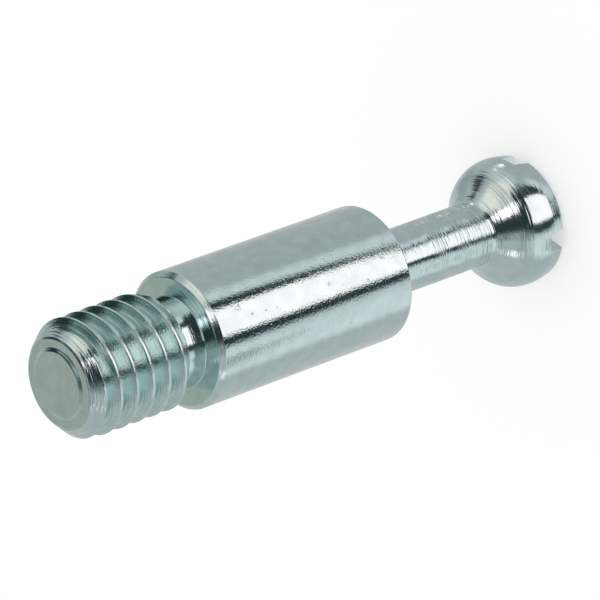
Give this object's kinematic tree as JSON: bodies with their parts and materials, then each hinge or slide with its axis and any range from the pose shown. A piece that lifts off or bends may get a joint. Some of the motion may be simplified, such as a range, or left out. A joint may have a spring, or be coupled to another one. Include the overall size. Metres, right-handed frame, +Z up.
{
  "type": "cam lock bolt",
  "caption": "Turned cam lock bolt: a metric threaded end with an undercut, a plain cylindrical collar, a slim neck and a ball-shaped head with a cross slot.",
  "frame": {"origin": "centre of the head's flat end face, on which the bolt stands", "axes": "+Z up the bolt's axis, from the head towards the threaded end; the two arms of the cross slot run along X and Y"},
  "size_m": [0.007, 0.007, 0.0307],
  "materials": {
    "zinc_plated_steel": "bright blue-passivated zinc plating over turned steel"
  },
  "bodies": {
    "root": {"bolt": "zinc_plated_steel"}
  },
  "joints": []
}
